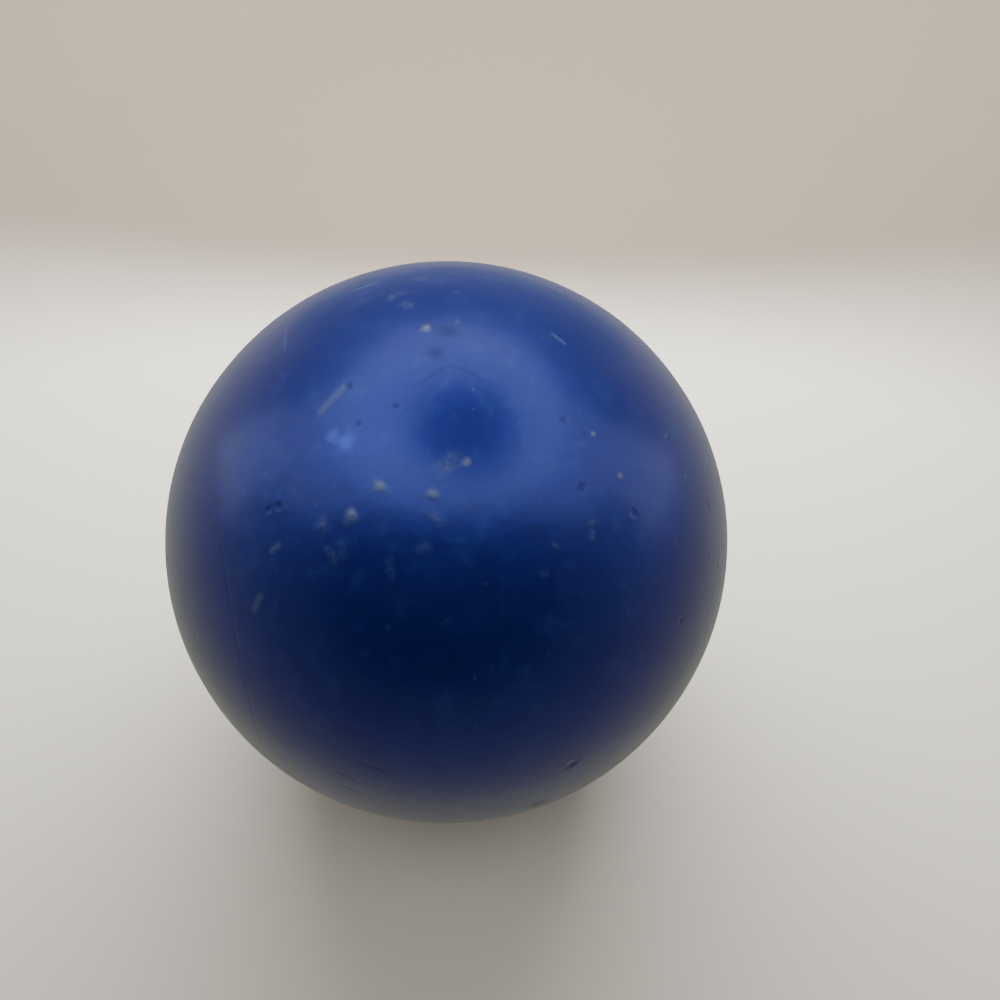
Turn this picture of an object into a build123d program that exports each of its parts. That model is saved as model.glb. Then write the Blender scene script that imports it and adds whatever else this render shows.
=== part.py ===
from build123d import *
import math
import os

# A soft weighted medicine ball for the hand: a moulded vinyl shell part-filled with loose sand.
# The frame's origin is the ball's centre, +Z is up, and +Y runs out through the filling valve.
# The shell, the valve housing and the bung are turned about that +Y axis. Lengths are in millimetres.

# Driving dimensions
BALL_DIAMETER = 95.0
SHELL_WALL = 3.2
SAND_SHARE = 0.68  # the share of the hollow that the settled sand takes up

# The valve housing, a moulded insert fused into the shell's wall
COLLAR_RADIUS = 7.2  # where it passes through the wall
COLLAR_SINK = 0.25  # how far its outer face lies below the ball's surface
FLANGE_RADIUS = 14.0
FLANGE_THICKNESS = 1.6
TUBE_RADIUS = 6.8
TUBE_LENGTH = 10.8  # from the shell's inner face inwards
SEAT_RADIUS = 5.7  # the counterbore that takes the bung's head
SEAT_DEPTH = 2.0
POCKET_RADIUS_OUTER = 4.8  # the pocket tapers, so that the bung pulls free
POCKET_RADIUS_INNER = 3.9
TUBE_FILLET = 1.2

# The filler bung, a tapered rubber plug with a channel for an inflating needle
BUNG_GAP = 0.05
HEAD_GAP = 0.12
HEAD_SINK = 0.4  # how far its domed head lies below the ball's surface
HEAD_FILLET = 0.35
NEEDLE_RADIUS = 1.1
NEEDLE_DEPTH = 10.0
FUNNEL_RADIUS = 2.1
FUNNEL_DEPTH = 0.9
NOSE_LENGTH = 2.6  # past the housing's inner end
NOSE_RADIUS = 3.0
NOSE_FILLET = 1.5
SEAL_GROOVES = 3
GROOVE_WIDTH = 1.3
GROOVE_DEPTH = 0.4

# The sand
SAND_GAP = 0.3

BALL_RADIUS = BALL_DIAMETER / 2
HOLLOW_RADIUS = BALL_RADIUS - SHELL_WALL
COLLAR_FACE_RADIUS = BALL_RADIUS - COLLAR_SINK
HEAD_FACE_RADIUS = BALL_RADIUS - HEAD_SINK
FLANGE_FACE_RADIUS = HOLLOW_RADIUS - FLANGE_THICKNESS
TUBE_END = HOLLOW_RADIUS - TUBE_LENGTH
LEDGE = COLLAR_FACE_RADIUS - SEAT_DEPTH


def height_on_sphere(sphere_radius, ring_radius):
    """The distance along +Y at which a sphere round the origin has that ring radius."""
    return math.sqrt(sphere_radius**2 - ring_radius**2)


def sphere_point(sphere_radius, ring_radius):
    """A profile point on a sphere round the origin."""
    return (ring_radius, height_on_sphere(sphere_radius, ring_radius))


def sphere_arc(sphere_radius, ring_from, ring_to):
    """A profile arc along a sphere round the origin, between two ring radii."""
    return ThreePointArc(
        sphere_point(sphere_radius, ring_from),
        sphere_point(sphere_radius, (ring_from + ring_to) / 2),
        sphere_point(sphere_radius, ring_to),
    )


def pocket_radius(along):
    """The tapered pocket's radius at a distance along +Y from the ball's centre."""
    share = (along - TUBE_END) / (LEDGE - TUBE_END)
    return POCKET_RADIUS_INNER + share * (POCKET_RADIUS_OUTER - POCKET_RADIUS_INNER)


def turned(*edges):
    """The solid that a closed profile in the XY plane makes when it turns about +Y."""
    return revolve(make_face(Curve() + list(edges)), Axis.Y)


def rings_at(body, radius, along):
    """A turned body's circular edges of that radius, that far along +Y."""
    return [
        edge
        for edge in body.edges().filter_by(GeomType.CIRCLE)
        if math.isclose(edge.radius, radius, abs_tol=0.01)
        and math.isclose(edge.center().Y, along, abs_tol=0.01)
    ]


def plug_cylinder(radius, start, end):
    """A cylinder on the +Y axis from one distance to another."""
    return Pos(0, (start + end) / 2, 0) * Rot(X=90) * Cylinder(radius, end - start)


def make_shell():
    """The hollow ball, open only where the valve housing's collar passes through."""
    hole = plug_cylinder(COLLAR_RADIUS, 0, BALL_RADIUS + 1)
    return Sphere(BALL_RADIUS) - Sphere(HOLLOW_RADIUS) - hole


def make_valve_housing():
    """The flanged insert: collar, dished flange, tube and tapered pocket."""
    collar_foot = sphere_point(HOLLOW_RADIUS, COLLAR_RADIUS)
    flange_rim = sphere_point(HOLLOW_RADIUS, FLANGE_RADIUS)
    rim_inner = sphere_point(FLANGE_FACE_RADIUS, FLANGE_RADIUS)
    tube_top = sphere_point(FLANGE_FACE_RADIUS, TUBE_RADIUS)
    outline = [
        sphere_arc(COLLAR_FACE_RADIUS, SEAT_RADIUS, COLLAR_RADIUS),
        Line(sphere_point(COLLAR_FACE_RADIUS, COLLAR_RADIUS), collar_foot),
        sphere_arc(HOLLOW_RADIUS, COLLAR_RADIUS, FLANGE_RADIUS),
        Line(flange_rim, rim_inner),
        sphere_arc(FLANGE_FACE_RADIUS, FLANGE_RADIUS, TUBE_RADIUS),
        Polyline(
            tube_top,
            (TUBE_RADIUS, TUBE_END),
            (POCKET_RADIUS_INNER, TUBE_END),
            (POCKET_RADIUS_OUTER, LEDGE),
            (SEAT_RADIUS, LEDGE),
            sphere_point(COLLAR_FACE_RADIUS, SEAT_RADIUS),
        ),
    ]
    body = turned(*outline)
    return fillet(rings_at(body, TUBE_RADIUS, tube_top[1]), TUBE_FILLET)


def bung_radius(along):
    """The tapered stem's radius at a distance along +Y from the ball's centre."""
    return pocket_radius(along) - BUNG_GAP


def groove_points(head_foot):
    """The stem's seal grooves as profile points, from the head towards the nose."""
    points = []
    pitch = (head_foot - TUBE_END) / (SEAL_GROOVES + 1)
    for i in range(SEAL_GROOVES):
        middle = head_foot - pitch * (i + 1)
        upper, lower = middle + GROOVE_WIDTH / 2, middle - GROOVE_WIDTH / 2
        floor = bung_radius(middle) - GROOVE_DEPTH
        points += [(bung_radius(upper), upper), (floor, upper), (floor, lower), (bung_radius(lower), lower)]
    return points


def make_filler_bung():
    """The tapered plug: domed head, grooved stem, rounded nose and the blind needle channel."""
    head_radius = SEAT_RADIUS - HEAD_GAP
    head_foot = LEDGE + BUNG_GAP
    nose_end = TUBE_END - NOSE_LENGTH
    channel_end = HEAD_FACE_RADIUS - NEEDLE_DEPTH
    head_rim = sphere_point(HEAD_FACE_RADIUS, head_radius)
    mouth = sphere_point(HEAD_FACE_RADIUS, FUNNEL_RADIUS)
    body = turned(
        sphere_arc(HEAD_FACE_RADIUS, FUNNEL_RADIUS, head_radius),
        Polyline(
            head_rim,
            (head_radius, head_foot),
            (bung_radius(LEDGE), head_foot),
            *groove_points(head_foot),
            (bung_radius(TUBE_END), TUBE_END),
            (NOSE_RADIUS, nose_end),
            (0, nose_end),
            (0, channel_end),
            (NEEDLE_RADIUS, channel_end),
            (NEEDLE_RADIUS, HEAD_FACE_RADIUS - FUNNEL_DEPTH),
            mouth,
        ),
    )
    body = fillet(rings_at(body, head_radius, head_rim[1]), HEAD_FILLET)
    return fillet(rings_at(body, NOSE_RADIUS, nose_end), NOSE_FILLET)


def sand_level():
    """The height of the sand's flat top, from the share of the hollow that it fills."""
    low, high = -1.0, 1.0
    while high - low > 1e-6:
        middle = (low + high) / 2
        share = (1 + middle) ** 2 * (2 - middle) / 4
        low, high = (middle, high) if share < SAND_SHARE else (low, middle)
    return HOLLOW_RADIUS * low


def make_sand_fill():
    """The settled sand: the lower part of the hollow, clear of the valve housing."""
    radius = HOLLOW_RADIUS - SAND_GAP
    level = sand_level()
    above = Pos(0, 0, level + radius) * Box(3 * radius, 3 * radius, 2 * radius)
    tube_room = plug_cylinder(TUBE_RADIUS + SAND_GAP, TUBE_END - NOSE_LENGTH - SAND_GAP, BALL_RADIUS)
    flange_foot = height_on_sphere(FLANGE_FACE_RADIUS, FLANGE_RADIUS) - SAND_GAP
    flange_room = plug_cylinder(FLANGE_RADIUS + SAND_GAP, flange_foot, BALL_RADIUS)
    return Sphere(radius) - above - tube_room - flange_room


PARTS = {
    "shell": make_shell,
    "valve_housing": make_valve_housing,
    "filler_bung": make_filler_bung,
    "sand_fill": make_sand_fill,
}

os.makedirs("parts", exist_ok=True)
for name, make in PARTS.items():
    part = make()
    export_step(part, f"parts/{name}.step")
    print(name, round(part.volume / 1000, 2), "cm3")
print("sand level", round(sand_level(), 2), "mm above the centre")
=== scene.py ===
# %% [markdown]
# # A soft weighted ball for the hand
#
# The ball is a hollow vinyl shell, moulded in one piece, and part-filled with sand through a small
# valve. This lesson loads the ball's engineering model first. That model says where each part is and
# how it moves, so everything here is built around it, in metres, with the ball's centre at the origin,
# +Z up and +Y out through the valve.

# %% Load the frame
import math
import random

import bmesh
import bpy
import numpy as np
from mathutils import Matrix, Vector, kdtree, noise


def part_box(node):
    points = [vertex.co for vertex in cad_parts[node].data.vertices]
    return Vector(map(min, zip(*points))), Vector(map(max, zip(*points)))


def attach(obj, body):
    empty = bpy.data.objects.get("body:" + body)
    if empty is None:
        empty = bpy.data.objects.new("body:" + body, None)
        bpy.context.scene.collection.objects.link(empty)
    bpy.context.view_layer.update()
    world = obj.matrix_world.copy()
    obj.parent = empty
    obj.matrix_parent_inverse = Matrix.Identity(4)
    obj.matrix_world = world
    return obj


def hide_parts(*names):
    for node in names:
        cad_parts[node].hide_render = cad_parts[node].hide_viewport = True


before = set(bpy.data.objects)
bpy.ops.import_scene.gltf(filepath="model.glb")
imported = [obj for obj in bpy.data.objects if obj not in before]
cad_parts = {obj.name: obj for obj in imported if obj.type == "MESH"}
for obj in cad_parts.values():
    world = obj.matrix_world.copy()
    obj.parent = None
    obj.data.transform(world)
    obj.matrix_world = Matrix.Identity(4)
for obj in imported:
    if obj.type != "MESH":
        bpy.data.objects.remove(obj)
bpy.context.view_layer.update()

MM = 0.001

# %% [markdown]
# ## Sizes
#
# The parts' boxes give the driving sizes: the ball's radius, and how far the valve's pieces reach.
# The few sizes that a box can't give, such as the wall's thickness, are named here once.

# %% Take the sizes from the frame
BALL_RADIUS = (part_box("shell")[1].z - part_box("shell")[0].z) / 2
HOUSING_LOW, HOUSING_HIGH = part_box("valve_housing")
BUNG_LOW, BUNG_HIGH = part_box("filler_bung")
SAND_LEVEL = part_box("sand_fill")[1].z
SHELL_WALL = 3.2 * MM
HOLLOW_RADIUS = BALL_RADIUS - SHELL_WALL
COLLAR_RADIUS = 7.2 * MM
FLANGE_RADIUS = (HOUSING_HIGH.x - HOUSING_LOW.x) / 2
TUBE_END = HOUSING_LOW.y
TUBE_RADIUS = 6.8 * MM
print(f"ball {2000 * BALL_RADIUS:.1f} mm across, sand level {1000 * SAND_LEVEL:.1f} mm above the centre")


def ring_height(sphere_radius, ring_radius):
    """How far out along +Y a sphere round the origin has a ring of that radius."""
    return math.sqrt(sphere_radius**2 - ring_radius**2)


def on_ball(east, north):
    """The direction from the centre to a place on the skin, in degrees.

    East counts from the front, which is -Y, towards +X. North counts up from the equator.
    """
    e, n = math.radians(east), math.radians(north)
    return Vector((math.sin(e) * math.cos(n), -math.cos(e) * math.cos(n), math.sin(n)))


# %% [markdown]
# ## The camera
#
# The ball is seen from above and in front, from close by, with a wide lens. The camera stands about
# three and a half radii from the ball's centre and looks a little past it, so the ball sits left of
# the middle. Giving the camera's pitch, roll and distance, rather than a position, keeps those facts
# readable.

# %% Place the camera
LENS_MM = 34.2
CAMERA_PITCH = 45.75  # degrees below the horizon
CAMERA_ROLL = 1.6
CAMERA_DISTANCE = 3.534 * BALL_RADIUS
BALL_LEFT = 2.98  # degrees from the middle of the view to the ball's centre
BALL_BELOW = 2.33

camera = bpy.data.objects.new("camera", bpy.data.cameras.new("camera"))
bpy.context.scene.collection.objects.link(camera)
camera.data.lens = LENS_MM
camera.data.clip_start = 0.01
turn = Matrix.Rotation(math.radians(90 - CAMERA_PITCH), 3, "X") @ Matrix.Rotation(
    math.radians(CAMERA_ROLL), 3, "Z"
)
to_ball = Vector((-math.tan(math.radians(BALL_LEFT)), -math.tan(math.radians(BALL_BELOW)), -1))
camera.location = -(turn @ (to_ball.normalized() * CAMERA_DISTANCE))
camera.rotation_euler = turn.to_euler()
bpy.context.scene.camera = camera
print("camera at", [round(1000 * c) for c in camera.location], "mm")

# %% [markdown]
# ## Helpers for meshes
#
# Each piece starts as a bmesh, which is Blender's editable mesh in memory, and ends as an object at the
# origin whose place is in its mesh. Turned pieces, such as a bung, are outlines of (radius, distance
# along the valve's axis) that spin once round that axis.


# %% Finish a piece, and spin an outline
def finished(name, bm, materials):
    """Makes the bmesh an object with those materials."""
    mesh = bpy.data.meshes.new(name)
    bm.to_mesh(mesh)
    bm.free()
    for material in materials:
        mesh.materials.append(material)
    mesh.polygons.foreach_set("use_smooth", [True] * len(mesh.polygons))
    piece = bpy.data.objects.new(name, mesh)
    bpy.context.scene.collection.objects.link(piece)
    print(name, len(mesh.polygons), "faces")
    return piece


def turned(outline, steps=144):
    """A bmesh of the outline spun round +Y. An outline that ends on the axis closes itself there."""
    bm = bmesh.new()
    points = [bm.verts.new((radius, along, 0)) for radius, along in outline]
    on_axis = outline[0][0] == 0 and outline[-1][0] == 0
    ends = list(zip(points, points[1:])) + ([] if on_axis else [(points[-1], points[0])])
    edges = [bm.edges.new(pair) for pair in ends]
    bmesh.ops.spin(
        bm, geom=points + edges, cent=(0, 0, 0), axis=(0, 1, 0), dvec=(0, 0, 0),
        angle=math.tau, steps=steps, use_merge=True, use_duplicate=False,
    )
    bmesh.ops.remove_doubles(bm, verts=bm.verts, dist=1e-7)
    bmesh.ops.recalc_face_normals(bm, faces=bm.faces)
    return bm


def soften(bm, offset, sharper_than=30, segments=3):
    """Rounds every edge where two faces meet more sharply than that many degrees."""
    limit = math.radians(sharper_than)
    sharp = [e for e in bm.edges if len(e.link_faces) == 2 and e.calc_face_angle() > limit]
    bmesh.ops.bevel(
        bm, geom=sharp, offset=offset, offset_type="OFFSET", segments=segments, profile=0.5,
        affect="EDGES", clamp_overlap=True, material=-1,
    )
    return bm


def arc_points(sphere_radius, ring_from, ring_to, count):
    """Outline points along a sphere round the origin, between two ring radii."""
    rings = [ring_from + (ring_to - ring_from) * i / (count - 1) for i in range(count)]
    return [(ring, ring_height(sphere_radius, ring)) for ring in rings]


# %% [markdown]
# ## Helpers for materials
#
# Wear comes from a few shader effects that every finish shares: cloudy patches where hands have rubbed,
# fine dust, and a moulded grain. Each is a node group with named inputs, built once and placed in each
# material with its own values. The groups give only masks and normals, and the shader stays in the
# material.


# %% Build nodes in a few words
def add(tree, kind, settings=None, **inputs):
    """A new node with its settings, and its inputs set to values or linked from other sockets."""
    node = tree.nodes.new(kind)
    for key, value in (settings or {}).items():
        setattr(node, key, value)
    for key, value in inputs.items():
        socket = node.inputs[int(key[1:]) if key[0] == "i" and key[1:].isdigit() else key.replace("_", " ")]
        if isinstance(value, bpy.types.NodeSocket):
            tree.links.new(value, socket)
        else:
            socket.default_value = value
    return node


def math_node(tree, operation, first, second):
    """One step of arithmetic, as the socket that holds its result."""
    return add(tree, "ShaderNodeMath", {"operation": operation}, i0=first, i1=second).outputs[0]


def between(tree, value, low, high, to_low=0.0, to_high=1.0):
    """Maps a value smoothly from one range to another, held at the ends."""
    node = add(
        tree, "ShaderNodeMapRange", {"interpolation_type": "SMOOTHSTEP"},
        Value=value, From_Min=low, From_Max=high, To_Min=to_low, To_Max=to_high,
    )
    return node.outputs["Result"]


def blend(tree, share, first, second):
    """A colour between two others."""
    node = add(tree, "ShaderNodeMix", {"data_type": "RGBA"}, i0=share, i6=first, i7=second)
    return node.outputs[2]


def effect(name, inputs, outputs):
    """A new shader node group with those sockets, and its input and output nodes."""
    group = bpy.data.node_groups.new(name, "ShaderNodeTree")
    for label, kind, value in inputs:
        socket = group.interface.new_socket(label, in_out="INPUT", socket_type=kind)
        if value is not None:
            socket.default_value = value
    for label, kind in outputs:
        group.interface.new_socket(label, in_out="OUTPUT", socket_type=kind)
    return group, group.nodes.new("NodeGroupInput"), group.nodes.new("NodeGroupOutput")


def use(tree, group, **inputs):
    """Places a node group in a material."""
    return add(tree, "ShaderNodeGroup", {"node_tree": group}, **inputs)


FLOAT, VECTOR = "NodeSocketFloat", "NodeSocketVector"


# %% Make the shared effects
def make_cloudy_wear():
    """Soft patches of two sizes, from 0 to 1."""
    group, given, result = effect(
        "cloudy wear",
        [("Place", VECTOR, None), ("Scale", FLOAT, 60.0), ("Low", FLOAT, 0.4), ("High", FLOAT, 0.65)],
        [("Mask", FLOAT)],
    )
    clouds = add(
        group, "ShaderNodeTexNoise",
        Vector=given.outputs["Place"], Scale=given.outputs["Scale"],
        Detail=6.0, Roughness=0.62, Distortion=0.4,
    )
    spread = between(group, clouds.outputs["Fac"], given.outputs["Low"], given.outputs["High"])
    group.links.new(spread, result.inputs["Mask"])
    return group


def make_dust_specks():
    """Sparse specks: the middles of a few cells, where a second, larger pattern lets them through."""
    group, given, result = effect(
        "dust specks",
        [("Place", VECTOR, None), ("Scale", FLOAT, 400.0), ("Size", FLOAT, 0.2), ("Share", FLOAT, 0.3)],
        [("Mask", FLOAT)],
    )
    cells = add(
        group, "ShaderNodeTexVoronoi", {"feature": "F1"},
        Vector=given.outputs["Place"], Scale=given.outputs["Scale"], Randomness=1.0,
    )
    dot = math_node(group, "LESS_THAN", cells.outputs["Distance"], given.outputs["Size"])
    parts = add(group, "ShaderNodeSeparateColor", Color=cells.outputs["Color"])
    chosen = math_node(group, "LESS_THAN", parts.outputs["Red"], given.outputs["Share"])
    patches = add(group, "ShaderNodeTexNoise", Vector=given.outputs["Place"], Scale=70.0, Detail=2.0)
    dusty = between(group, patches.outputs["Fac"], 0.42, 0.6)
    mask = math_node(group, "MULTIPLY", math_node(group, "MULTIPLY", dot, chosen), dusty)
    group.links.new(mask, result.inputs["Mask"])
    return group


def make_moulded_grain():
    """The soft unevenness of a moulded skin with a finer grain on it, as a normal."""
    group, given, result = effect(
        "moulded grain",
        [
            ("Place", VECTOR, None), ("Swell", FLOAT, 0.3), ("Grain", FLOAT, 0.1),
            ("Fine Scale", FLOAT, 2600.0),
        ],
        [("Normal", VECTOR)],
    )
    swell = add(group, "ShaderNodeTexNoise", Vector=given.outputs["Place"], Scale=330.0, Detail=3.0)
    fine = add(
        group, "ShaderNodeTexNoise",
        Vector=given.outputs["Place"], Scale=given.outputs["Fine Scale"], Detail=3.0,
    )
    first = add(
        group, "ShaderNodeBump",
        Height=swell.outputs["Fac"], Strength=given.outputs["Swell"], Distance=0.4 * MM,
    )
    second = add(
        group, "ShaderNodeBump",
        Height=fine.outputs["Fac"], Strength=given.outputs["Grain"], Distance=0.03 * MM,
        Normal=first.outputs["Normal"],
    )
    group.links.new(second.outputs["Normal"], result.inputs["Normal"])
    return group


CLOUDY_WEAR = make_cloudy_wear()
DUST_SPECKS = make_dust_specks()
MOULDED_GRAIN = make_moulded_grain()


def new_material(name):
    """An empty material, its node tree, its shader and the Object coordinates."""
    material = bpy.data.materials.new(name)
    material.use_nodes = True
    tree = material.node_tree
    shader = tree.nodes["Principled BSDF"]
    place = tree.nodes.new("ShaderNodeTexCoord").outputs["Object"]
    return material, tree, shader, place


# %% [markdown]
# ## The skin's finish
#
# The vinyl is coloured with a fine pearl pigment: it shines like satin, its highlights are blue and not
# white, and its unlit parts fall to a very deep blue. That is a partly metallic base under a thin clear
# coat. Painted masks on the mesh say where the crumbs, the dirt, the scuffs and two painted highlights are.
# The dirt mask also carries one faint line that is a painted reflection.

# %% Mix the pearl blue vinyl
DEEP_BLUE = (0.003, 0.0095, 0.18, 1)
RUBBED_BLUE = (0.005, 0.014, 0.2, 1)
HAZE_BLUE = (0.035, 0.07, 0.27, 1)
# the lighter blue of the painted highlights, painted on where a glint shows
PAINTED_GLINT_BLUE = (0.03, 0.06, 0.4, 1)
CREAM = (0.27, 0.32, 0.25, 1)
GREY_DUST = (0.12, 0.16, 0.2, 1)
# dark for the dirt, and for the faint line, where it is a painted reflection of an edge
DARK_DIRT_AND_REFLECTION = (0.012, 0.016, 0.03, 1)
MASKS = ("crumb", "dirt_and_painted_reflection", "scuff", "painted_glint")
HAZE_SHARE = 0.22
SPECK_SHARE = 0.16
SATIN = (0.38, 0.46)  # the skin's roughness, from clear to hazy
MARK_ROUGHENING = 0.3
PEARL = (0.7, 0.52)  # how metallic the base is, from face on to a slant
CLEAR_COAT = (0.6, 1.0)  # the coat's weight, from face on to a slant
COAT_ROUGHNESS = 0.28


def painted(tree, name):
    """The painted mask of that name, which a piece's mesh carries."""
    node = add(tree, "ShaderNodeAttribute", {"attribute_name": name, "attribute_type": "GEOMETRY"})
    return node.outputs["Fac"]


def make_pearl_vinyl():
    material, tree, shader, place = new_material("pearl_vinyl")
    crumb, dirt_and_painted_reflection, scuff, painted_glint = (painted(tree, name) for name in MASKS)
    clouds = use(tree, CLOUDY_WEAR, Place=place, Scale=55.0, Low=0.38, High=0.68).outputs["Mask"]
    haze = use(tree, CLOUDY_WEAR, Place=place, Scale=260.0, Low=0.5, High=0.72).outputs["Mask"]
    specks = use(tree, DUST_SPECKS, Place=place, Scale=650.0, Size=0.17, Share=0.08).outputs["Mask"]
    colour = blend(tree, clouds, DEEP_BLUE, RUBBED_BLUE)
    colour = blend(tree, math_node(tree, "MULTIPLY", haze, HAZE_SHARE), colour, HAZE_BLUE)
    # painted highlight: two spots of the skin are painted lighter blue
    colour = blend(tree, painted_glint, colour, PAINTED_GLINT_BLUE)
    colour = blend(tree, math_node(tree, "MULTIPLY", specks, SPECK_SHARE), colour, GREY_DUST)
    colour = blend(tree, scuff, colour, GREY_DUST)
    # the dirt, and the faint line's painted reflection, darken the skin here
    colour = blend(tree, dirt_and_painted_reflection, colour, DARK_DIRT_AND_REFLECTION)
    colour = blend(tree, crumb, colour, CREAM)
    tree.links.new(colour, shader.inputs["Base Color"])
    covered = math_node(tree, "MAXIMUM", crumb, math_node(tree, "MAXIMUM", dirt_and_painted_reflection, scuff))
    rough = add(
        tree, "ShaderNodeMath", {"operation": "MULTIPLY_ADD"},
        i0=covered, i1=MARK_ROUGHENING, i2=between(tree, haze, 0.0, 1.0, *SATIN),
    )
    tree.links.new(rough.outputs[0], shader.inputs["Roughness"])
    facing = add(tree, "ShaderNodeLayerWeight", Blend=0.5).outputs["Facing"]
    bare = between(tree, covered, 0.0, 1.0, 1.0, 0.0)
    pearl = math_node(tree, "MULTIPLY", bare, between(tree, facing, 0.3, 0.8, *PEARL))
    tree.links.new(pearl, shader.inputs["Metallic"])
    unmarked = between(tree, covered, 0.0, 0.8, 1.0, 0.0)
    clear = math_node(tree, "MULTIPLY", unmarked, between(tree, facing, 0.3, 0.7, *CLEAR_COAT))
    tree.links.new(clear, shader.inputs["Coat Weight"])
    shader.inputs["Coat Roughness"].default_value = COAT_ROUGHNESS
    shader.inputs["IOR"].default_value = 1.4
    shader.inputs["Specular Tint"].default_value = (0.3, 0.3, 0.22, 1)
    shader.inputs["Sheen Weight"].default_value = 0.03
    shader.inputs["Sheen Roughness"].default_value = 0.4
    shader.inputs["Sheen Tint"].default_value = (1.0, 0.97, 0.9, 1)
    grain = use(tree, MOULDED_GRAIN, Place=place, Swell=0.3, Grain=0.35, Fine_Scale=2600.0)
    tree.links.new(grain.outputs["Normal"], shader.inputs["Normal"])
    return material


PEARL_VINYL = make_pearl_vinyl()


def make_raw_vinyl():
    """The inside of the wall, which no polished mould touched."""
    material, tree, shader, place = new_material("raw_vinyl")
    clouds = use(tree, CLOUDY_WEAR, Place=place, Scale=120.0, Low=0.35, High=0.7).outputs["Mask"]
    colour = blend(tree, clouds, (0.01, 0.04, 0.2, 1), (0.05, 0.09, 0.24, 1))
    tree.links.new(colour, shader.inputs["Base Color"])
    tree.links.new(between(tree, clouds, 0.0, 1.0, 0.55, 0.75), shader.inputs["Roughness"])
    grain = use(tree, MOULDED_GRAIN, Place=place, Swell=0.6, Grain=0.6, Fine_Scale=900.0)
    tree.links.new(grain.outputs["Normal"], shader.inputs["Normal"])
    return material


RAW_VINYL = make_raw_vinyl()

# %% [markdown]
# ## The marks on the skin
#
# The ball has been used on the floor. It carries stuck crumbs, pale smears, small pits, smudges, scrapes
# and a fine arched crack. Two spots are a painted highlight: lighter blue painted on the skin. One long
# faint line is a shallow groove painted dark, a painted reflection of an edge. They could be drawn in the
# shader alone, but then nothing would stand out at the ball's edge. So all but the smudges and the painted
# highlights are pressed into the mesh as well. The small ones come in patches: a patch has a middle, a
# spread and a count, and a seeded draw places its marks. Only the few that catch the eye are set one by
# one, mostly in steps of five degrees. A wide scatter carries the same kinds round the back.

# %% List the marks
PATCHES = [  # kind, how many, middle east and north, spread in degrees, largest size in millimetres
    ("smear", 8, -20, 45, 3, 1.4),
    ("smear", 3, 0, 45, 4, 1.2),
    ("smear", 4, 30, 45, 4, 1.0),
    ("smear", 4, 0, 20, 12, 0.7),
    ("smear", 4, -120, 75, 3, 1.7),
    ("smear", 3, -160, 85, 3, 0.9),
    ("crumb", 4, 70, 50, 6, 0.7),
    ("pit", 3, -40, 60, 5, 1.1),
    ("pit", 2, -40, 45, 1.5, 1.2),
    ("pit", 4, 45, 55, 6, 1.0),
    ("pit", 6, 70, 30, 8, 0.8),
]
# the two marks at east -30 and -35, north 60, are painted highlights, lighter spots painted on the skin
SINGLES = [  # kind, east, north, size
    ("crumb", -35, 85, 1.2), ("crumb", -15, 55, 1.3), ("crumb", 0, 55, 1.2), ("crumb", -20, 50, 1.0),
    ("crumb", 10, 60, 0.9), ("smear", 5, 60, 2.2), ("pit", 25, 0, 1.2), ("painted_glint", -30, 60, 2.0),
    ("painted_glint", -35, 60, 1.4), ("smudge", 10, 85, 3.0), ("smudge", -5, 80, 2.2), ("smudge", 20, -15, 3.0),
]
PALE_SCRAPES = [  # middle east and north, heading clockwise from north, length, width
    (-45, 65, 0, 4.2, 0.9), (85, 70, 30, 2.0, 0.6), (-95, 60, 75, 10.0, 0.35), (-35, 40, 30, 1.4, 0.7),
    (-35, 30, 10, 2.4, 0.8), (-130, 70, -55, 4.0, 0.5), (-155, 70, -70, 2.0, 0.5),
]
DARK_SCRAPES = [
    (-15, 0, 110, 2.5, 0.6), (-10, 5, 105, 3.6, 0.6), (25, 0, 55, 2.0, 1.1), (-15, -5, 100, 3.0, 0.7),
]
PALE_STRENGTH, DARK_STRENGTH = 0.35, 0.3
CRACK_WEST, CRACK_EAST, CRACK_NORTH, CRACK_RISE = -10, 25, 73, 4
CRACK_WIDTH, CRACK_STRENGTH = 0.45 * MM, 0.16
LINE_AXIS = on_ball(-75, 0)  # the faint line is part of a circle round this
LINE_REACH = math.radians(42)  # and this far from it
LINE_MIDDLE, LINE_HALF_LENGTH = on_ball(-43, 18), 0.52
LINE_FULL = 0.3  # how far from its middle the line starts to fade
LINE_WIDTH = 0.45 * MM
LINE_SPARE = 1.4  # how far past its ends the mesh is kept fine
SCATTERED_MARKS = 120
VALVE_CLEAR = 0.94  # how far along +Y, in radii, the scatter may reach
FRONT_CLEAR = 0.45  # and how far towards the front, which has its own marks


# %% Draw the patches and the scatter
def patch_marks(seed):
    """The marks of every patch: kind, place and size, drawn round the patch's middle."""
    rng = random.Random(seed)
    marks = []
    for kind, count, east, north, spread, size in PATCHES:
        for _ in range(count):
            shift = Vector([rng.gauss(0, math.radians(spread)) for _ in range(3)])
            place = (on_ball(east, north) + shift).normalized()
            marks.append((kind, place, size * rng.uniform(0.6, 1) * MM))
    return marks


MARKS = patch_marks(11) + [(kind, on_ball(east, north), size * MM) for kind, east, north, size in SINGLES]


def scattered(count, seed):
    """Seeded places all over the skin, clear of the valve and of the part that faces forwards."""
    rng = random.Random(seed)
    places = []
    while len(places) < count:
        place = Vector([rng.gauss(0, 1) for _ in range(3)]).normalized()
        if place.y < VALVE_CLEAR and place.dot(on_ball(0, 42)) < FRONT_CLEAR:
            places.append((place, rng.random()))
    return places


SCATTER = scattered(SCATTERED_MARKS, 7)
print(len(MARKS), "marks,", len(SCATTER), "scattered ones")


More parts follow.
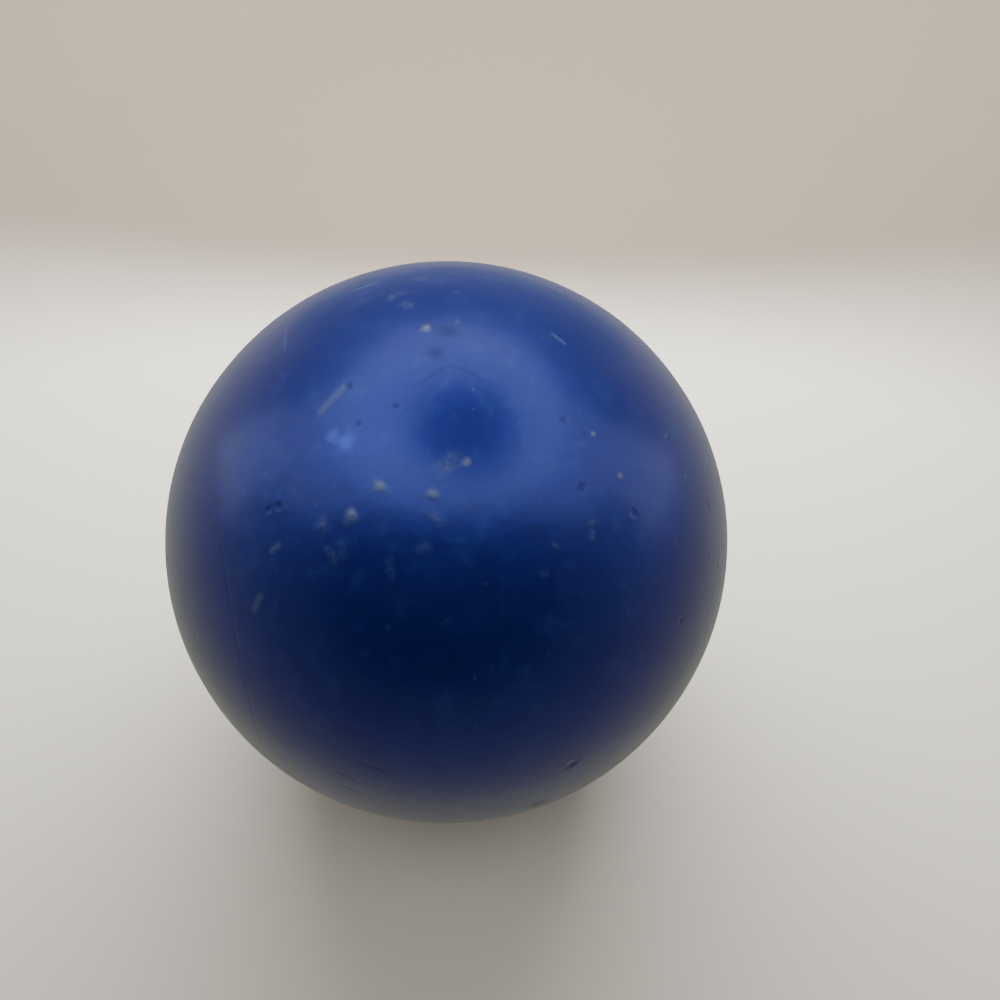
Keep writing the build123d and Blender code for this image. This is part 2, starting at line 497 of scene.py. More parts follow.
# %% Lay out the scrapes, the crack and the line
def scrape_ends(east, north, heading, length):
    """The two ends of a scrape, as directions."""
    middle = on_ball(east, north)
    northwards = (Vector((0, 0, 1)) - middle.z * middle).normalized()
    along = Matrix.Rotation(math.radians(-heading), 3, middle) @ northwards * length / 2 * MM / BALL_RADIUS
    return middle - along, middle + along


def crack_points(step=5):
    """Places along the crack, which arches northwards between its two ends."""
    span = CRACK_EAST - CRACK_WEST
    return [
        on_ball(east, CRACK_NORTH + CRACK_RISE * math.sin(math.pi * (east - CRACK_WEST) / span))
        for east in range(CRACK_WEST, CRACK_EAST + 1, step)
    ]


def scrape_runs():
    """Every scrape and every run of the crack, as two ends, a width, a mask and its strength."""
    runs = []
    kinds = [(PALE_SCRAPES, "scuff", PALE_STRENGTH), (DARK_SCRAPES, "dirt_and_painted_reflection", DARK_STRENGTH)]
    for scrapes, mask, strength in kinds:
        for *lie, width in scrapes:
            runs.append((*scrape_ends(*lie), width * MM, mask, strength))
    crack = crack_points()
    return runs + [(start, end, CRACK_WIDTH, "dirt_and_painted_reflection", CRACK_STRENGTH) for start, end in zip(crack, crack[1:])]


SCRAPES = scrape_runs()


def along_scrapes(step=1.3 * MM):
    """Places along every scrape, that far apart."""
    places = []
    for start, end, *_ in SCRAPES:
        steps = max(1, math.ceil((end - start).length * BALL_RADIUS / step))
        places += [start.lerp(end, i / steps).normalized() for i in range(steps + 1)]
    return places


def along_line(count=26):
    """Places along the faint line."""
    side = (LINE_MIDDLE - LINE_MIDDLE.dot(LINE_AXIS) * LINE_AXIS).normalized()
    turns = [LINE_HALF_LENGTH * (2 * i / (count - 1) - 1) * LINE_SPARE for i in range(count)]
    arms = [Matrix.Rotation(a, 3, LINE_AXIS) @ side for a in turns]
    return [math.cos(LINE_REACH) * LINE_AXIS + math.sin(LINE_REACH) * arm for arm in arms]


LISTED = [place for kind, place, _ in MARKS if kind != "smudge"] + along_scrapes() + along_line()
print(len(SCRAPES), "scrapes and runs of the crack,", len(LISTED), "places that need a fine mesh")

# %% [markdown]
# ## The shell
#
# The skin starts as an icosphere, because its triangles are all nearly the same size and it has no
# poles. It is cut open where the valve's collar passes through, its edge is rolled inwards, and a coarser
# sphere for the inside of the wall is bridged to it, so that the shell is one closed solid.


# %% Build the shell's wall
def refine(bm, places, reach):
    """Splits the skin's edges near those places, and puts the new points back on the sphere."""
    tree = kdtree.KDTree(len(places))
    for i, place in enumerate(places):
        tree.insert(place * BALL_RADIUS, i)
    tree.balance()
    near = {v for v in bm.verts if tree.find(v.co)[2] < reach}
    edges = [e for e in bm.edges if e.verts[0] in near and e.verts[1] in near]
    bmesh.ops.subdivide_edges(bm, edges=edges, cuts=1, use_grid_fill=True)
    for v in bm.verts:
        v.co = v.co.normalized() * BALL_RADIUS


def open_at_valve(bm, sphere_radius, ring_radius):
    """Cuts a sphere open round +Y and gives the edges of the round hole."""
    height = ring_height(sphere_radius, ring_radius)
    bmesh.ops.bisect_plane(
        bm, geom=bm.verts[:] + bm.edges[:] + bm.faces[:], dist=1e-7,
        plane_co=(0, height, 0), plane_no=(0, 1, 0), clear_outer=True,
    )
    return [e for e in bm.edges if e.is_boundary]


def set_ring(edges, ring_radius, height):
    """Puts a ring of edges at exactly that radius and distance along +Y."""
    for v in {v for e in edges for v in e.verts}:
        flat = Vector((v.co.x, 0, v.co.z)).normalized() * ring_radius
        v.co = (flat.x, height, flat.z)


def next_ring(bm, edges, ring_radius, height):
    """Extrudes a ring of edges and puts the new ring in its place."""
    made = bmesh.ops.extrude_edge_only(bm, edges=edges)["geom"]
    ring = [g for g in made if isinstance(g, bmesh.types.BMEdge) and g.is_boundary]
    set_ring(ring, ring_radius, height)
    return ring


FINE_REACH, FINEST_REACH = 2.2 * MM, 1.4 * MM


def shell_wall():
    """The whole wall: the skin, the rolled edge at the valve, and the inside."""
    lip = 0.35 * MM
    bm = bmesh.new()
    bmesh.ops.create_icosphere(bm, subdivisions=7, radius=BALL_RADIUS)
    refine(bm, LISTED + [place for place, _ in SCATTER], FINE_REACH)
    refine(bm, LISTED, FINEST_REACH)
    ring = open_at_valve(bm, BALL_RADIUS, COLLAR_RADIUS + lip)
    top = ring_height(BALL_RADIUS, COLLAR_RADIUS + lip)
    set_ring(ring, COLLAR_RADIUS + lip, top)
    for angle in (30, 60, 90):
        a = math.radians(angle)
        ring = next_ring(bm, ring, COLLAR_RADIUS + lip * (1 - math.sin(a)), top - lip * (1 - math.cos(a)))
    inside = bmesh.new()
    bmesh.ops.create_icosphere(inside, subdivisions=5, radius=HOLLOW_RADIUS)
    open_at_valve(inside, HOLLOW_RADIUS, COLLAR_RADIUS)
    bmesh.ops.reverse_faces(inside, faces=inside.faces)
    for face in inside.faces:
        face.material_index = 1
    mesh = bpy.data.meshes.new("inside")
    inside.to_mesh(mesh)
    inside.free()
    bm.from_mesh(mesh)
    bpy.data.meshes.remove(mesh)
    rims = [e for e in bm.edges if e.is_boundary]
    set_ring([e for e in rims if e not in ring], COLLAR_RADIUS, ring_height(HOLLOW_RADIUS, COLLAR_RADIUS))
    bmesh.ops.bridge_loops(bm, edges=rims)
    bmesh.ops.recalc_face_normals(bm, faces=bm.faces)
    return bm


shell = finished("ball_shell", shell_wall(), [PEARL_VINYL, RAW_VINYL])

# %% [markdown]
# ## Wear on the skin
#
# Now the skin's points move in and out by fractions of a millimetre. First come broad, very low swells,
# which bend the reflections, and then each mark. A mark works on the points near it: a pit sinks and its
# rim rises, a crumb stands proud, a scrape is a shallow groove. The same distances paint the masks. Lifts
# and depths are shares of a mark's size, and a mask's strength says how much of the skin's colour it hides.


# %% Press the marks into the skin
class Skin:
    """The points of the shell's outer skin, with their lift and their painted masks."""

    def __init__(self, mesh):
        self.mesh = mesh
        points = np.empty(len(mesh.vertices) * 3)
        mesh.vertices.foreach_get("co", points)
        self.points = points.reshape(-1, 3)
        length = np.linalg.norm(self.points, axis=1)
        self.outer = length > BALL_RADIUS - 1e-6
        self.ways = self.points / length[:, None]
        self.lift = np.zeros(len(length))
        self.masks = {name: np.zeros(len(length)) for name in MASKS}
        self.ragged = self.noise(900, 3)  # lumps of about a millimetre
        self.fine = self.noise(2100, 11)  # and of half a millimetre

    def noise(self, scale, seed):
        """Smooth noise from -1 to 1 at the skin's points."""
        shift = Vector((seed, 2.0 * seed, -seed))
        return np.array([noise.noise(Vector(p) * scale + shift) for p in self.points])

    def distance(self, start, end=None, rag=1.0):
        """How far each point is from a place, or from a line between two, more ragged with more rag."""
        start = np.array(start)
        line = np.array(end) - start if end is not None else np.zeros(3)
        share = np.clip((self.ways - start) @ line / max(line @ line, 1e-12), 0, 1)
        gap = np.linalg.norm(self.ways - start - share[:, None] * line, axis=1) * BALL_RADIUS
        return gap * (1 + rag * (0.45 * self.ragged + 0.2 * self.fine))

    def paint(self, name, amount):
        self.masks[name] = np.maximum(self.masks[name], amount)

    def store(self):
        """Moves the points and gives the mesh its masks."""
        moved = self.ways * (np.linalg.norm(self.points, axis=1) + self.lift * self.outer)[:, None]
        self.mesh.vertices.foreach_set("co", moved.ravel())
        for name, values in self.masks.items():
            layer = self.mesh.attributes.new(name, "FLOAT", "POINT")
            layer.data.foreach_set("value", np.clip(values * self.outer, 0, 1).astype(np.float32))
        self.mesh.update()


def falloff(distance, reach):
    """1 at the middle of a mark, easing to 0 at its edge."""
    share = np.clip(1 - distance / reach, 0, 1)
    return share * share * (3 - 2 * share)


PIT_DEPTH, PIT_RIM, PIT_DIRT = 0.07, 0.01, 0.32
CRUMB_LIFT, CRUMB_STRENGTH = 0.05, 0.3
FILM_LIFT, FILM_STRENGTH = 0.03, 0.25
# the second value is how strongly the painted highlights are painted on
STAIN_STRENGTH, GLINT_STRENGTH = 0.4, 0.75
SCRAPE_DEPTH, SCATTERED_SCRAPE_STRENGTH = 0.02, 0.22
# the faint line's darkening is a painted reflection of an edge, over a shallow groove
LINE_DEPTH, LINE_PAINTED_DARK = 0.03, 0.13


def press_pit(skin, place, size):
    gap = skin.distance(place)
    bowl, rim = falloff(gap, size), falloff(np.abs(gap - size), 0.5 * size)
    skin.lift += (-PIT_DEPTH * bowl + PIT_RIM * rim) * size
    skin.paint("dirt_and_painted_reflection", PIT_DIRT * falloff(gap, 0.95 * size))


def stick_crumb(skin, place, size):
    gap = skin.distance(place)
    skin.lift += CRUMB_LIFT * size * falloff(gap, size) * (1 + 0.5 * skin.fine)
    skin.paint("crumb", falloff(gap, size) * (CRUMB_STRENGTH + 0.25 * skin.fine))


def smear(skin, place, size):
    """A thin pale film, dragged out a little, too thin to stand proud by much."""
    turn = Matrix.Rotation(40 * size / MM, 3, place)  # so that no two films lie the same way
    drag = turn @ place.orthogonal().normalized() * 0.35 * size / BALL_RADIUS
    gap = skin.distance(place - drag, place + drag, 1.5)
    film = falloff(gap, 0.9 * size) * (0.7 + 0.8 * skin.fine)
    skin.lift += FILM_LIFT * size * film
    skin.paint("scuff", FILM_STRENGTH * film)


def stain(skin, place, size):
    skin.paint("dirt_and_painted_reflection", STAIN_STRENGTH * falloff(skin.distance(place), size))


# A painted highlight: a spot painted lighter blue where a glint shows. It is not bare skin.
def paint_glint(skin, place, size):
    skin.paint("painted_glint", GLINT_STRENGTH * falloff(skin.distance(place), size))


MARK_MAKERS = {"crumb": stick_crumb, "smear": smear, "pit": press_pit, "smudge": stain, "painted_glint": paint_glint}


def drag_scrape(skin, start, end, width, mask, strength):
    groove = falloff(skin.distance(start, end, 0.4), width)
    skin.lift -= SCRAPE_DEPTH * width * groove
    skin.paint(mask, strength * groove)


def score_line_and_paint_reflection(skin):
    """A shallow groove along part of a circle, painted dark as a painted reflection of an edge, which fades
    at both ends.
    """
    off = np.abs(skin.ways @ np.array(LINE_AXIS) - math.cos(LINE_REACH)) / math.sin(LINE_REACH)
    reach = np.linalg.norm(skin.ways - np.array(LINE_MIDDLE), axis=1)
    fading = falloff(np.maximum(reach - LINE_FULL, 0), LINE_HALF_LENGTH - LINE_FULL)
    groove = falloff(off * BALL_RADIUS, LINE_WIDTH) * fading
    skin.lift -= LINE_DEPTH * LINE_WIDTH * groove
    skin.paint("dirt_and_painted_reflection", LINE_PAINTED_DARK * groove)


CRUMBS_BELOW, SMEARS_BELOW, PITS_BELOW = 0.2, 0.5, 0.8


def scatter_mark(skin, place, draw):
    """A mark whose kind and size both come from one draw between 0 and 1."""
    size = (0.6 + 0.8 * draw**2) * MM
    if draw < CRUMBS_BELOW:
        stick_crumb(skin, place, size)
    elif draw < SMEARS_BELOW:
        smear(skin, place, size)
    elif draw < PITS_BELOW:
        press_pit(skin, place, size)
    else:
        half_length = (1 + 14 * (draw - PITS_BELOW)) * MM / BALL_RADIUS
        side = Matrix.Rotation(97 * draw, 3, place) @ place.orthogonal().normalized() * half_length
        drag_scrape(skin, place - side, place + side, 0.6 * size, "scuff", SCATTERED_SCRAPE_STRENGTH)


# %% Work on the skin
SWELL, RIPPLE = 0.05 * MM, 0.014 * MM

skin = Skin(shell.data)
skin.lift += SWELL * skin.noise(60, 5) + RIPPLE * skin.noise(260, 9)
for kind, place, size in MARKS:
    MARK_MAKERS[kind](skin, place, size)
for start, end, width, mask, strength in SCRAPES:
    drag_scrape(skin, start, end, width, mask, strength)
score_line_and_paint_reflection(skin)
for place, draw in SCATTER:
    scatter_mark(skin, place, draw)
skin.store()
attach(shell, "ball")
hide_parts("shell")
print(f"{len(skin.points)} points, lift {1000 * skin.lift.min():.2f} to {1000 * skin.lift.max():.2f} mm")

# %% [markdown]
# ## The valve housing
#
# A moulded insert is fused into the wall: its collar is level with the skin, its dished flange lies
# behind the wall, and its tube holds the bung in a tapered pocket. All of it is round, so it is one
# outline, spun, with its edges softened as a mould leaves them.


# %% Mix the valve's vinyl and the bung's rubber
def make_moulded(name, base, worn, roughness, grain_strength):
    """A plain moulded finish with rubbed patches and dust."""
    material, tree, shader, place = new_material(name)
    clouds = use(tree, CLOUDY_WEAR, Place=place, Scale=260.0, Low=0.42, High=0.7).outputs["Mask"]
    specks = use(tree, DUST_SPECKS, Place=place, Scale=1400.0, Size=0.24, Share=0.35).outputs["Mask"]
    colour = blend(tree, clouds, base, worn)
    colour = blend(tree, math_node(tree, "MULTIPLY", specks, 0.6), colour, GREY_DUST)
    tree.links.new(colour, shader.inputs["Base Color"])
    rough = between(tree, clouds, 0.0, 1.0, roughness - 0.06, roughness + 0.08)
    tree.links.new(rough, shader.inputs["Roughness"])
    grain = use(tree, MOULDED_GRAIN, Place=place, Swell=0.2, Grain=grain_strength, Fine_Scale=3600.0)
    tree.links.new(grain.outputs["Normal"], shader.inputs["Normal"])
    return material


VALVE_BLUE, WORN_VALVE_BLUE = (0.004, 0.014, 0.1, 1), (0.008, 0.026, 0.14, 1)
RUBBER_BLACK, WORN_RUBBER = (0.012, 0.014, 0.02, 1), (0.03, 0.035, 0.045, 1)
VALVE_VINYL = make_moulded("valve_vinyl", VALVE_BLUE, WORN_VALVE_BLUE, roughness=0.42, grain_strength=0.5)
BUNG_RUBBER = make_moulded("bung_rubber", RUBBER_BLACK, WORN_RUBBER, roughness=0.62, grain_strength=0.9)

# %% Turn the housing
SEAT_RADIUS = 5.7 * MM
SEAT_DEPTH = 2.0 * MM
COLLAR_SINK = 0.25 * MM
COLLAR_FACE = BALL_RADIUS - COLLAR_SINK
LEDGE = COLLAR_FACE - SEAT_DEPTH
FLANGE_THICKNESS = 1.6 * MM
FLANGE_FACE = HOLLOW_RADIUS - FLANGE_THICKNESS
TUBE_FILLET = 1.2 * MM
POCKET_INNER = 3.9 * MM
POCKET_OUTER = 4.8 * MM


def housing_outline():
    """From the seat's rim over the collar and the flange, down the tube and back up the pocket."""
    return [
        *arc_points(COLLAR_FACE, SEAT_RADIUS, COLLAR_RADIUS, 4),
        *arc_points(HOLLOW_RADIUS, COLLAR_RADIUS, FLANGE_RADIUS, 8),
        *arc_points(FLANGE_FACE, FLANGE_RADIUS, TUBE_RADIUS + TUBE_FILLET, 8),
        (TUBE_RADIUS, ring_height(FLANGE_FACE, TUBE_RADIUS) - TUBE_FILLET),
        (TUBE_RADIUS, TUBE_END),
        (POCKET_INNER, TUBE_END),
        (POCKET_OUTER, LEDGE),
        (SEAT_RADIUS, LEDGE),
    ]


housing = finished("valve_insert", soften(turned(housing_outline()), 0.15 * MM), [VALVE_VINYL])
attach(housing, "ball")
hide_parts("valve_housing")

# %% [markdown]
# ## The bung
#
# The bung is soft rubber. Its domed head fills the seat, three grooves leave sealing rings on its stem,
# and a fine channel in its middle takes an inflating needle. A shallow ring round the channel's mouth
# is where the mould's core pin stood.

# %% Turn the bung
HEAD_RADIUS = (BUNG_HIGH.x - BUNG_LOW.x) / 2
HEAD_SINK = 0.4 * MM
HEAD_FACE = BALL_RADIUS - HEAD_SINK
BUNG_GAP = 0.05 * MM
HEAD_FOOT = LEDGE + BUNG_GAP
NOSE_END = BUNG_LOW.y
NEEDLE_RADIUS = 1.1 * MM
NEEDLE_DEPTH = 10 * MM
FUNNEL_RADIUS = 2.1 * MM
FUNNEL_DEPTH = 0.9 * MM
GROOVES = 3
GROOVE_WIDTH = 1.3 * MM
GROOVE_DEPTH = 0.4 * MM


def stem_radius(along):
    """The stem's radius, a hair less than the pocket's."""
    share = (along - TUBE_END) / (LEDGE - TUBE_END)
    return POCKET_INNER + share * (POCKET_OUTER - POCKET_INNER) - BUNG_GAP


def groove_outline():
    """The stem's grooves, from the head towards the nose."""
    points = []
    for i in range(GROOVES):
        middle = HEAD_FOOT - (HEAD_FOOT - TUBE_END) * (i + 1) / (GROOVES + 1)
        upper, lower = middle + GROOVE_WIDTH / 2, middle - GROOVE_WIDTH / 2
        floor = stem_radius(middle) - GROOVE_DEPTH
        points += [(stem_radius(upper), upper), (floor, upper), (floor, lower), (stem_radius(lower), lower)]
    return points


def bung_outline():
    """From the bottom of the needle's channel out over the head and down the stem to the nose."""
    mouth = ring_height(HEAD_FACE, FUNNEL_RADIUS)
    ring = 3.1 * MM  # the core pin's mark
    return [
        (0, HEAD_FACE - NEEDLE_DEPTH),
        (NEEDLE_RADIUS, HEAD_FACE - NEEDLE_DEPTH),
        (NEEDLE_RADIUS, HEAD_FACE - FUNNEL_DEPTH),
        (FUNNEL_RADIUS, mouth),
        (ring, ring_height(HEAD_FACE, ring)),
        (ring + 0.15 * MM, ring_height(HEAD_FACE, ring) - 0.15 * MM),
        (ring + 0.4 * MM, ring_height(HEAD_FACE, ring + 0.4 * MM)),
        *arc_points(HEAD_FACE, ring + 0.8 * MM, HEAD_RADIUS, 4),
        (HEAD_RADIUS, HEAD_FOOT),
        (stem_radius(LEDGE), HEAD_FOOT),
        *groove_outline(),
        (stem_radius(TUBE_END), TUBE_END),
        (3.0 * MM, NOSE_END + 0.5 * MM),
        (2.2 * MM, NOSE_END),
        (0, NOSE_END),
    ]


bung = finished("rubber_bung", soften(turned(bung_outline(), 96), 0.12 * MM), [BUNG_RUBBER])
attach(bung, "bung")
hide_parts("filler_bung")

# %% [markdown]
# ## The sand
#
# The sand lies level in the lower part of the hollow. It is a sphere whose top is pressed flat, with
# room cut out for the flange and the tube. Low ripples and single grains stand on its top.


# %% Mix the sand
def make_dry_sand():
    material, tree, shader, place = new_material("dry_sand")
    grains = add(tree, "ShaderNodeTexVoronoi", {"feature": "F1"}, Vector=place, Scale=2200.0)
    parts = add(tree, "ShaderNodeSeparateColor", Color=grains.outputs["Color"])
    colour = blend(tree, parts.outputs["Red"], (0.42, 0.3, 0.17, 1), (0.72, 0.6, 0.42, 1))
    dark = math_node(tree, "GREATER_THAN", parts.outputs["Green"], 0.9)
    colour = blend(tree, math_node(tree, "MULTIPLY", dark, 0.7), colour, (0.12, 0.09, 0.06, 1))
    tree.links.new(colour, shader.inputs["Base Color"])
    tree.links.new(between(tree, parts.outputs["Blue"], 0.0, 1.0, 0.55, 0.9), shader.inputs["Roughness"])
    bump = add(
        tree, "ShaderNodeBump", {"invert": True},
        Height=grains.outputs["Distance"], Strength=0.9, Distance=0.25 * MM,
    )
    tree.links.new(bump.outputs["Normal"], shader.inputs["Normal"])
    return material


DRY_SAND = make_dry_sand()


# %% Settle the sand
def settled_sand():
    """A sphere pressed flat on top, a little short of the wall, with room for the flange and the tube."""
    gap = 0.3 * MM
    radius = HOLLOW_RADIUS - gap
    bm = bmesh.new()
    bmesh.ops.create_icosphere(bm, subdivisions=6, radius=radius)
    ring = open_at_valve(bm, radius, FLANGE_RADIUS + gap)
    face = ring_height(FLANGE_FACE, FLANGE_RADIUS) - gap
    ring = next_ring(bm, ring, FLANGE_RADIUS + gap, face)
    ring = next_ring(bm, ring, TUBE_RADIUS + gap, face)
    ring = next_ring(bm, ring, TUBE_RADIUS + gap, NOSE_END - gap)
    bmesh.ops.holes_fill(bm, edges=ring, sides=0)
    for v in bm.verts:
        if v.co.z > SAND_LEVEL:
            ripple = noise.noise(v.co * 90) + 0.35 * noise.noise(v.co * 420)
            v.co.z = SAND_LEVEL - gap + 0.5 * MM * (ripple - 0.8)
    bmesh.ops.recalc_face_normals(bm, faces=bm.faces)
    return bm


GRAINS, GRAIN_REACH = 900, 38 * MM


def strew_grains(bm, count, seed):
    """Single grains, each a rough little solid, half sunk in the sand's top."""
    rng = random.Random(seed)
    for _ in range(count):
        reach, angle = GRAIN_REACH * math.sqrt(rng.random()), rng.uniform(0, math.tau)
        spot = Vector((reach * math.cos(angle), reach * math.sin(angle), SAND_LEVEL - 0.75 * MM))
        size = rng.uniform(0.25, 0.55) * MM
        place = Matrix.Translation(spot) @ Matrix.Rotation(rng.uniform(0, math.tau), 4, "Z")
        place = place @ Matrix.Diagonal((size, size * rng.uniform(0.6, 1), size * rng.uniform(0.5, 0.9), 1))
        bmesh.ops.create_icosphere(bm, subdivisions=1, radius=1, matrix=place)
    return bm


sand = finished("loose_sand", strew_grains(settled_sand(), GRAINS, 21), [DRY_SAND])
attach(sand, "ball")
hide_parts("sand_fill")

# %% [markdown]
# ## The studio's floor
#
# The ball stands on a pale floor that curves up into a wall all round, so no corner shows. One paper
# covers both, with painted shade that turns it darker and warmer up the wall. A flat floor with a plain
# backdrop would do, but its edge would show in the views from low down.


# %% Lay the floor
# the wall's darker, warmer tone is painted shade, where less light reaches
WALL_SHADE_CHANGE = (0.105, 0.175)  # how far out the paper's tone starts and stops changing
WIDTH_SHARE = 0.72  # the pale part is wider than it is deep
FLOOR_TONE = (0.78, 0.745, 0.665, 1)
WALL_PAINTED_SHADE = (0.25, 0.207, 0.163, 1)
FLOOR_RADIUS = 0.15
CURVE_RADIUS = 0.17
WALL_TOP = 0.5


def make_studio_paper():
    """Pale on the floor, with painted shade, darker and warmer, past a wide rounded square round the ball.
    """
    material, tree, shader, place = new_material("studio_paper")
    parts = add(tree, "ShaderNodeSeparateXYZ", Vector=place)
    sideways = math_node(tree, "POWER", math_node(tree, "MULTIPLY", parts.outputs["X"], WIDTH_SHARE), 4.0)
    backwards = math_node(tree, "POWER", parts.outputs["Y"], 4.0)
    reach = math_node(tree, "POWER", math_node(tree, "ADD", sideways, backwards), 0.25)
    painted_wall_shade = between(tree, reach, *WALL_SHADE_CHANGE)
    tree.links.new(blend(tree, painted_wall_shade, FLOOR_TONE, WALL_PAINTED_SHADE), shader.inputs["Base Color"])
    shader.inputs["Roughness"].default_value = 0.85
    return material


def floor_outline():
    """The floor, the curve and the wall, from the middle outwards, as radius and height."""
    floor = -BALL_RADIUS
    curve = [
        (
            FLOOR_RADIUS + CURVE_RADIUS * math.sin(math.radians(a)),
            floor + CURVE_RADIUS * (1 - math.cos(math.radians(a))),
        )
        for a in range(0, 91, 6)
    ]
    return [(0, floor), *curve, (FLOOR_RADIUS + CURVE_RADIUS, WALL_TOP)]


def spun_up(outline):
    """A bmesh of an open outline of (radius, height), spun round the upright axis."""
    bm = bmesh.new()
    points = [bm.verts.new((radius, 0, height)) for radius, height in outline]
    edges = [bm.edges.new(pair) for pair in zip(points, points[1:])]
    bmesh.ops.spin(
        bm, geom=points + edges, cent=(0, 0, 0), axis=(0, 0, 1), dvec=(0, 0, 0),
        angle=math.tau, steps=96, use_merge=True, use_duplicate=False,
    )
    bmesh.ops.remove_doubles(bm, verts=bm.verts, dist=1e-6)
    return bm


finished("studio_floor", spun_up(floor_outline()), [make_studio_paper()])


# %% [markdown]
# ## What the skin mirrors
#
# A shiny ball shows its whole room, so what hangs round it matters as much as the strength of the light.
# A round bright ring on the roof, with a dimmer hole in it, gives the soft ring on top. A wide strip and
# two side panels give the shine at the shoulders, and a black card gives the dark middle of the front. A
# dim card stands behind, and a glowing bowl just over the floor stands for the lit floor and walls.
# Camera, soft light and shadows don't see any of them, so the floor's own brightness is set apart, by
# two soft lights that don't show in the skin.

# %% Make a card, a panel and a glow
LEVEL, SIDEWAYS, UPRIGHT = (0, 0, 0), (0, 90, 0), (90, 0, 0)


def hung(name, bm, place, turn, material):
    """Hangs a card or a panel that the camera and the soft shadows don't see, only reflections."""
    spin = Matrix.Translation(place)
    for angle, axis in zip(turn, "XYZ"):
        spin = spin @ Matrix.Rotation(math.radians(angle), 4, axis)
    bmesh.ops.transform(bm, matrix=spin, verts=bm.verts)
    piece = finished(name, bm, [material])
    piece.visible_camera = False
    piece.visible_diffuse = False
    piece.visible_shadow = False


def rectangle(width, depth):
    bm = bmesh.new()
    bmesh.ops.create_grid(bm, x_segments=1, y_segments=1, size=0.5)
    bmesh.ops.scale(bm, vec=(width, depth, 1), verts=bm.verts)
    return bm


def disc(radius):
    bm = bmesh.new()
    bmesh.ops.create_circle(bm, cap_ends=True, segments=64, radius=radius)
    return bm


def glowing(name, colour, strength):
    """A panel's even glow."""
    material = bpy.data.materials.new(name)
    material.use_nodes = True
    tree = material.node_tree
    tree.nodes.remove(tree.nodes["Principled BSDF"])
    glow = add(tree, "ShaderNodeEmission", Color=colour, Strength=strength)
    tree.links.new(glow.outputs["Emission"], tree.nodes["Material Output"].inputs["Surface"])
    return material


def make_black_card():
    material, _, shader, _ = new_material("black_card")
    shader.inputs["Base Color"].default_value = (0.004, 0.004, 0.005, 1)
    shader.inputs["Roughness"].default_value = 1.0
    return material


# %% Make the bowl's glow
NEAR_GLOW = (1.1, 1.1, 0.9, 1)
FAR_GLOW = (1, 1.02, 0.9, 1)
GLOW_REACH, GLOW_STRENGTH = (0.08, 0.26), (0.36, 0.44)
SHADE_REACH, SHADE_SHARE = (0.05, 0.08), (0.4, 1.0)  # the ball's own shade under it
FRONT_REACH, FRONT_SHARE = (-0.2, -0.055), (0.5, 1.0)  # the bowl dies away towards the front


def make_floor_glow():
    """The bowl's glow: in the ball's own shade under it, and dying away towards the front."""
    material = glowing("floor_glow", FAR_GLOW, 0.4)
    tree = material.node_tree
    place = tree.nodes.new("ShaderNodeTexCoord").outputs["Object"]
    reach = add(tree, "ShaderNodeVectorMath", {"operation": "LENGTH"}, i0=place).outputs["Value"]
    forwards = add(tree, "ShaderNodeSeparateXYZ", Vector=place).outputs["Y"]
    strength = between(tree, reach, *GLOW_REACH, *GLOW_STRENGTH)
    strength = math_node(tree, "MULTIPLY", strength, between(tree, reach, *SHADE_REACH, *SHADE_SHARE))
    strength = math_node(tree, "MULTIPLY", strength, between(tree, forwards, *FRONT_REACH, *FRONT_SHARE))
    tree.links.new(strength, tree.nodes["Emission"].inputs["Strength"])
    colour = blend(tree, between(tree, reach, *GLOW_REACH), NEAR_GLOW, FAR_GLOW)
    tree.links.new(colour, tree.nodes["Emission"].inputs["Color"])
    return material


# %% Hang the cards
HOLE_GLOW = glowing("hole_glow", (0.9, 1, 1, 1), 0.4)
ROOF_GLOW = glowing("roof_glow", (0.86, 1, 0.98, 1), 2.6)
SIDE_GLOW = glowing("side_glow", (0.95, 1, 0.88, 1), 1.55)
BACK_GLOW = glowing("back_glow", (0.85, 1, 0.95, 1), 0.3)
BLACK_CARD = make_black_card()
ROOF = 0.2
HOLE_RADIUS, RING_RADIUS = 0.058, 0.147
PANEL_WIDTH, PANEL_DEPTH, PANEL_REACH, PANEL_HEIGHT = 0.16, 0.13, 0.27, 0.12
CARD_REACH, CARD_HEIGHT = 0.24, 0.11
CARD_LIFT = 1.5 * MM

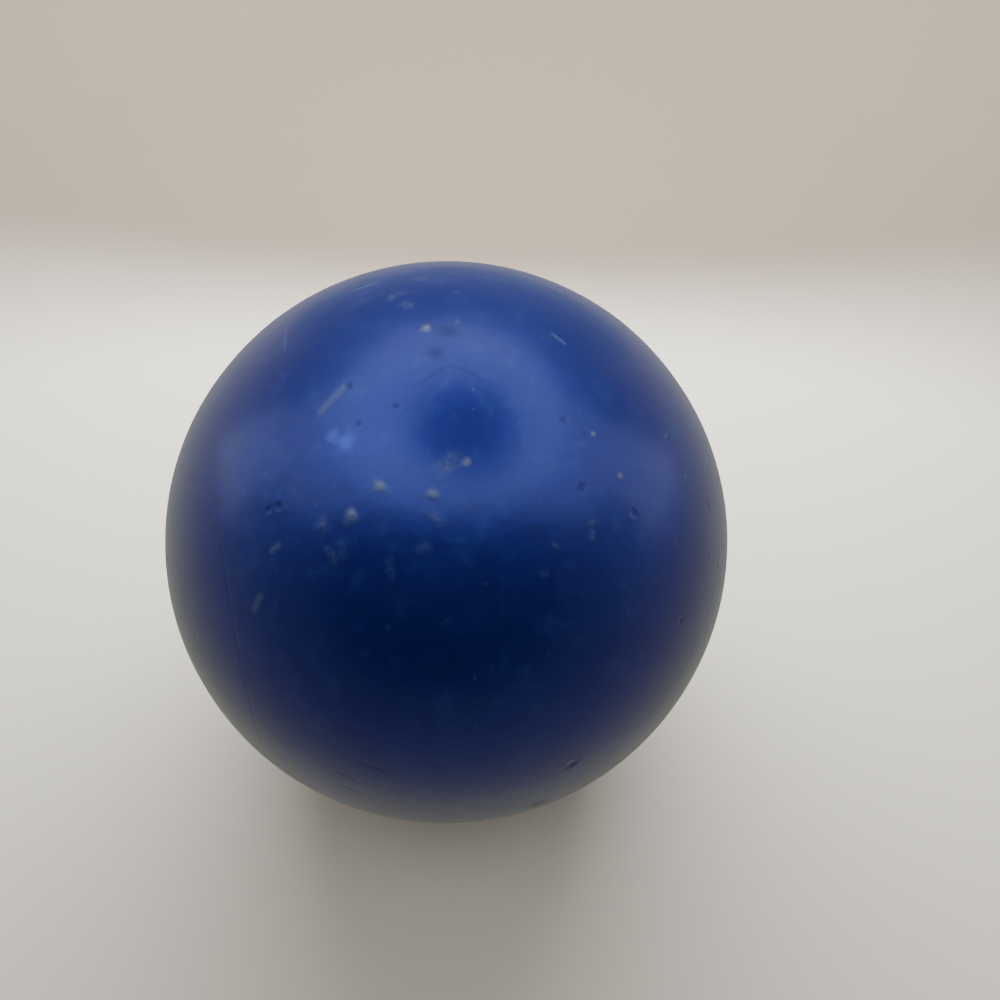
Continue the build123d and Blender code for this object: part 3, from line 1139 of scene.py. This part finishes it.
hung("roof_hole", disc(HOLE_RADIUS), (0.022, -0.018, ROOF - 0.006), LEVEL, HOLE_GLOW)
hung("roof_ring", disc(RING_RADIUS), (0.003, 0.018, ROOF - 0.003), LEVEL, ROOF_GLOW)
hung("roof_strip", rectangle(0.64, 0.21), (0, -0.02, ROOF), LEVEL, SIDE_GLOW)
for name, side in (("left_panel", -1), ("right_panel", 1)):
    place = (side * PANEL_REACH, 0.04, PANEL_HEIGHT)
    hung(name, rectangle(PANEL_WIDTH, PANEL_DEPTH), place, SIDEWAYS, SIDE_GLOW)
hung("back_card", rectangle(0.56, 0.2), (0, CARD_REACH, CARD_HEIGHT), UPRIGHT, BACK_GLOW)
hung("front_opening", rectangle(0.5, 0.32), (0, -CARD_REACH, CARD_HEIGHT), UPRIGHT, BLACK_CARD)
card_outline = [(radius - CARD_LIFT, height + CARD_LIFT) for radius, height in floor_outline()[1:]]
bowl = spun_up([(0, CARD_LIFT - BALL_RADIUS), *card_outline])
hung("floor_card", bowl, (0, 0, 0), LEVEL, make_floor_glow())


# %% Light the studio
def softbox(name, width, depth, place, power):
    """A rectangular soft light that faces the ball and doesn't mirror in it."""
    light = bpy.data.lights.new(name, "AREA")
    light.shape = "RECTANGLE"
    light.size, light.size_y, light.energy = width, depth, power
    lamp = bpy.data.objects.new(name, light)
    lamp.location = place
    lamp.rotation_euler = Vector(place).to_track_quat("Z", "Y").to_euler()
    lamp.visible_glossy = False
    bpy.context.scene.collection.objects.link(lamp)
    return lamp


ROOF_POWER, FRONT_POWER = 2.2, 0.25  # watts
AIR_COLOUR, AIR_STRENGTH = (1, 0.99, 0.98, 1), 0.32

roof_light = softbox("roof_light", 0.36, 0.12, (0, 0.16, 0.85 * ROOF), ROOF_POWER)
roof_light.rotation_euler = (0, 0, 0)  # straight down, onto the floor behind the ball
softbox("front_fill", 0.3, 0.2, (0, -0.14, 0.2), FRONT_POWER)

world = bpy.data.worlds.new("studio_air")
world.use_nodes = True
world.node_tree.nodes["Background"].inputs["Color"].default_value = AIR_COLOUR
world.node_tree.nodes["Background"].inputs["Strength"].default_value = AIR_STRENGTH
bpy.context.scene.world = world
